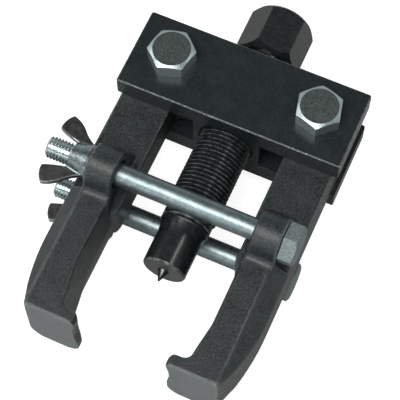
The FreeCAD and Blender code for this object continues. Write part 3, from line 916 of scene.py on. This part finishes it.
def forcing_screw():
    """The threaded screw with its hexagon, its grooved collar and its plain nose.

    Its materials are the oxide's, the bare nose face's and a lighter one for the crests, grooves
    and rim: painted highlight on the crests and grooves, rubbed bare at the rim.
    """
    bm = bmesh.new()
    # The thread's crests get the lighter painted-highlight colour.
    thread(bm, SCREW_RADIUS, SCREW_PITCH, SCREW_THREAD_END, SCREW_THREAD_TOP, crest_material=2)
    nose_end, hex_end = (corner.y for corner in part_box("forcing_screw"))
    grooves = [(level - fall * GROOVE, COLLAR_RADIUS - depth * GROOVE)
               for level in GROOVES for fall, depth in ((-1, 0), (0, 1), (1, 0))]
    lathe(bm, [(SCREW_THREAD_END + SCREW_OVERLAP, COLLAR_ROOT_RADIUS),
               (COLLAR_START, COLLAR_RADIUS), *grooves, (COLLAR_END, COLLAR_RADIUS),
               (COLLAR_END - COLLAR_CHAMFER, COLLAR_RADIUS - COLLAR_CHAMFER),
               (NOSE_NECK, NOSE_NECK_RADIUS), (NOSE_START, NOSE_RADIUS),
               (nose_end + NOSE_TIP, NOSE_RADIUS),
               (nose_end + NOSE_CHAMFER, NOSE_RADIUS - NOSE_CHAMFER)])
    tube(bm, [(nose_end + NOSE_FACE_INSET, NOSE_RADIUS - NOSE_CHAMFER),
              (nose_end, NOSE_FACE_RADIUS), (nose_end, SOCKET_RADIUS + SOCKET_CHAMFER),
              (nose_end + SOCKET_CHAMFER, SOCKET_RADIUS),
              (nose_end + SOCKET_DEPTH, SOCKET_RADIUS)], material=1)
    lathe(bm, [(SCREW_THREAD_TOP - SCREW_OVERLAP, SCREW_NECK_RADIUS),
               (SCREW_HEX_START + SCREW_NECK_OVERLAP, SCREW_NECK_RADIUS)])
    hexagon(bm, SCREW_HEX_FLATS, SCREW_HEX_START, hex_end - SCREW_HEX_START, SCREW_HEX_PHASE,
            ("start", "end"), chamfer_slope=SCREW_HEX_CHAMFER)
    obj = object_from("forcing_screw_turned", bm)
    placed(obj, Vector((0, 0, 0)), SCREW_AXIS)
    machined(obj)
    grooved = (GROOVES[-1] - GROOVE, GROOVES[0] + GROOVE)
    for face in obj.data.polygons:
        # Rim faces get the lighter colour for rubbing, groove flanks get it as painted highlight.
        rubbed = face.center.y < nose_end + NOSE_RIM or within(face.center.y, grooved)
        if rubbed and within(abs(face.normal.y), RIM_SLOPES):
            face.material_index = 2
    finish(obj, [OXIDE, BARE, CREST_HIGHLIGHT_AND_WEAR], "forcing_screw", "forcing_screw")


def centre_point():
    """The hardened pin in the screw's nose, with its conical point."""
    low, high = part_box("centre_point")
    bm = bmesh.new()
    radius = (high.x - low.x) / 2
    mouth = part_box("forcing_screw")[0].y
    tip = mouth - low.y
    lathe(bm, [*POINT_TIP, (tip - POINT_SHOULDER, radius - POINT_SHOULDER_FALL),
               (tip + POINT_SHOULDER, radius), (high.y - low.y, radius)], PIN_SEGMENTS)
    obj = object_from("centre_point_pin", bm)
    placed(obj, Vector((0, low.y, 0)), SCREW_AXIS)
    smooth_shading(obj, POINT_SHARP_ANGLE)
    finish(obj, [POINT], "centre_point", "centre_point")


def hex_bolt(name, flats, head, phase, radius, shank_radius, pitch, length, thread_length):
    """A bolt along +Z from its threaded end at the origin; the head comes last.

    Its materials are the shank's, the thread's, the head's and the head's top face's.
    """
    bm = bmesh.new()
    thread(bm, radius, pitch, 0.0, thread_length, end_chamfers=(BOLT_CHAMFER, 0.0),
           material=1, crest_material=1)
    lathe(bm, [(thread_length - RUNOUT_TURNS * pitch, radius - RUNOUT_DEPTH * pitch),
               (thread_length + RUNOUT_END, shank_radius),
               (length - BOLT_FILLET_START, shank_radius),
               (length + BOLT_FILLET_OVERLAP, shank_radius + BOLT_FILLET)], THREAD_SEGMENTS)
    shank_faces = set(bm.faces)
    hexagon(bm, flats, length, head, phase, ("end",), crown_material=1)
    for face in set(bm.faces) - shank_faces:
        face.material_index += 2
    return object_from(name, bm)


def clamp_bolt(place):
    """A long bolt across both jaws, its head on the right."""
    node = place + "_clamp_bolt"
    low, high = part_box(node)
    axis = (low + high) / 2
    length = high.x - low.x - CLAMP_HEAD
    obj = hex_bolt(node + "_zinc", CLAMP_FLATS, CLAMP_HEAD, CLAMP_HEAD_PHASE, CLAMP_RADIUS,
                   CLAMP_SHANK_RADIUS, CLAMP_PITCH, length, CLAMP_THREAD_LENGTH)
    placed(obj, Vector((low.x, axis.y, axis.z)), ALONG)
    machined(obj)
    finish(obj, [ZINC, ZINC_THREAD_HIGHLIGHT, HEAD, HEAD], node, node)


def wing_nut(place):
    """A cast wing nut: the wings' broad faces are rougher than its hub and rims, and darkened
    with painted shade.
    """
    node = place + "_wing_nut"
    obj = cast(node, node + "_cast", WING_VOXEL, WING_SOFTENING)
    low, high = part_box(place + "_clamp_bolt")
    axis = (low + high) / 2
    reach = [vertex.co - Vector((vertex.co.x, axis.y, axis.z)) for vertex in obj.data.vertices]
    along_wings = max(reach, key=lambda arm: arm.length).normalized()
    across = along_wings.cross(ALONG)
    for face in obj.data.polygons:
        outward = Vector((0, face.center.y - axis.y, face.center.z - axis.z)).length
        # The broad wing faces get the painted-shade material.
        broad = outward > WING_HUB_RADIUS and abs(face.normal.dot(across)) > WING_BROAD_FACE
        face.material_index = int(broad)
    edge_wear(obj, WING_WEAR)
    finish(obj, [SHINY, WING_FACE_SHADE], node, node)


def pivot_bolt(side):
    """The bolt that a jaw swings on, its head at the front."""
    node = side + "_pivot_bolt"
    low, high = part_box(node)
    axis = (low + high) / 2
    length = high.z - low.z - PIVOT_HEAD
    obj = hex_bolt(node + "_zinc", PIVOT_FLATS, PIVOT_HEAD, PIVOT_PHASES[side], PIVOT_RADIUS,
                   PIVOT_RADIUS - PIVOT_PLAY, PIVOT_PITCH, length, PIVOT_THREAD_LENGTH)
    placed(obj, Vector((axis.x, axis.y, low.z)), FRONT)
    machined(obj)
    finish(obj, [ZINC, ZINC_THREAD_HIGHLIGHT, PIVOT, CROWN], "head", node)


def lock_nut(side):
    """A hexagon with a rolled-over collar that holds a nylon ring."""
    node = side + "_lock_nut"
    low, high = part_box(node)
    axis = (low + high) / 2
    top = high.z - low.z
    bore = PIVOT_RADIUS + PIVOT_PLAY
    bm = bmesh.new()
    hexagon(bm, PIVOT_FLATS, 0.0, LOCK_NUT_HEX, -PIVOT_PHASES[side], ("start", "end"), bore)
    outside = NUT_COLLAR_RADIUS
    collar_base = LOCK_NUT_HEX - NUT_COLLAR_OVERLAP
    lip = [(top - drop, outside - inset) for drop, inset in NUT_COLLAR_LIP]
    tube(bm, [(collar_base, outside), *lip, (collar_base, outside - NUT_COLLAR_WALL)])
    nylon_base = LOCK_NUT_HEX - NYLON_OVERLAP
    nylon_outside = outside - NYLON_INSET
    tube(bm, [(nylon_base, nylon_outside), (top - NYLON_DROP, nylon_outside),
              (top - NYLON_MOUTH_DROP, bore + NYLON_MOUTH), (nylon_base, bore)], material=1)
    obj = object_from(node + "_zinc", bm)
    placed(obj, Vector((axis.x, axis.y, high.z)), -FRONT)
    machined(obj, LOCK_NUT_EDGE_BREAK)
    finish(obj, [ZINC, NYLON], "head", node)


crosshead()
forcing_screw()
centre_point()
for side in SIDES:
    jaw(side)
    pivot_bolt(side)
    lock_nut(side)
for place in CLAMPS:
    clamp_bolt(place)
    wing_nut(place)


# ---------------------------------------------------------------- stage

def floor():
    """The paper that the tool lies on."""
    lowest = cad_bounds[0][2]
    bm = bmesh.new()
    bmesh.ops.create_grid(bm, x_segments=FLOOR_SEGMENTS, y_segments=FLOOR_SEGMENTS,
                          size=FLOOR_SIZE)
    obj = object_from("floor", bm)
    obj.data.transform(Matrix.Translation((0, 0, lowest - FLOOR_GAP)))
    obj.data.materials.append(floor_paper())


def camera():
    """The camera, above the tool's front and level from side to side."""
    azimuth = math.radians(CAMERA_AZIMUTH)
    elevation = math.radians(CAMERA_ELEVATION)
    forward = Vector((-math.sin(azimuth) * math.cos(elevation),
                      math.cos(azimuth) * math.cos(elevation), -math.sin(elevation)))
    right = Vector((math.cos(azimuth), math.sin(azimuth), 0))
    up = right.cross(forward)
    data = bpy.data.cameras.new("camera")
    data.sensor_width = SENSOR_WIDTH
    data.lens = CAMERA_LENS
    data.clip_start, data.clip_end = CAMERA_CLIP
    obj = bpy.data.objects.new("camera", data)
    turn = Matrix((right, up, -forward)).transposed().to_4x4()
    obj.matrix_world = Matrix.Translation(CAMERA_TARGET - forward * CAMERA_DISTANCE) @ turn
    bpy.context.scene.collection.objects.link(obj)
    bpy.context.scene.camera = obj


def softbox(name, position, size, power):
    """A rectangular light that faces the tool."""
    data = bpy.data.lights.new(name, "AREA")
    data.shape = "RECTANGLE"
    data.size, data.size_y = size
    data.energy = power
    obj = bpy.data.objects.new(name, data)
    direction = (LIGHT_TARGET - Vector(position)).normalized()
    turn = direction.to_track_quat("-Z", "Y").to_matrix().to_4x4()
    obj.matrix_world = Matrix.Translation(position) @ turn
    bpy.context.scene.collection.objects.link(obj)


def studio_world():
    """Pale round the horizon and below, shading to a dim ceiling that flat faces reflect.

    The camera itself sees plain white, as it does on the floor.
    """
    world = bpy.data.worlds.new("studio")
    world.use_nodes = True
    nodes, links = world.node_tree.nodes, world.node_tree.links
    coordinates = nodes.new("ShaderNodeTexCoord")
    split = nodes.new("ShaderNodeSeparateXYZ")
    links.new(coordinates.outputs["Generated"], split.inputs["Vector"])
    ramp = nodes.new("ShaderNodeValToRGB")
    links.new(split.outputs["Z"], ramp.inputs["Fac"])
    ramp.color_ramp.elements[0].position = HORIZON_GLOW_TOP
    ramp.color_ramp.elements[0].color = (*HORIZON_COLOUR, 1)
    ramp.color_ramp.elements[1].position = CEILING_START
    ramp.color_ramp.elements[1].color = (CEILING_GREY, CEILING_GREY, CEILING_GREY, 1)
    rays = nodes.new("ShaderNodeLightPath")
    seen = nodes.new("ShaderNodeMix")
    seen.data_type = "RGBA"
    links.new(rays.outputs["Is Camera Ray"], seen.inputs["Factor"])
    links.new(ramp.outputs["Color"], seen.inputs["A"])
    seen.inputs["B"].default_value = WHITE
    background = nodes["Background"]
    links.new(seen.outputs["Result"], background.inputs["Color"])
    background.inputs["Strength"].default_value = WORLD_STRENGTH
    bpy.context.scene.world = world


floor()
camera()
for light in LIGHTS:
    softbox(*light)
studio_world()
bpy.context.scene.view_settings.view_transform = "Standard"
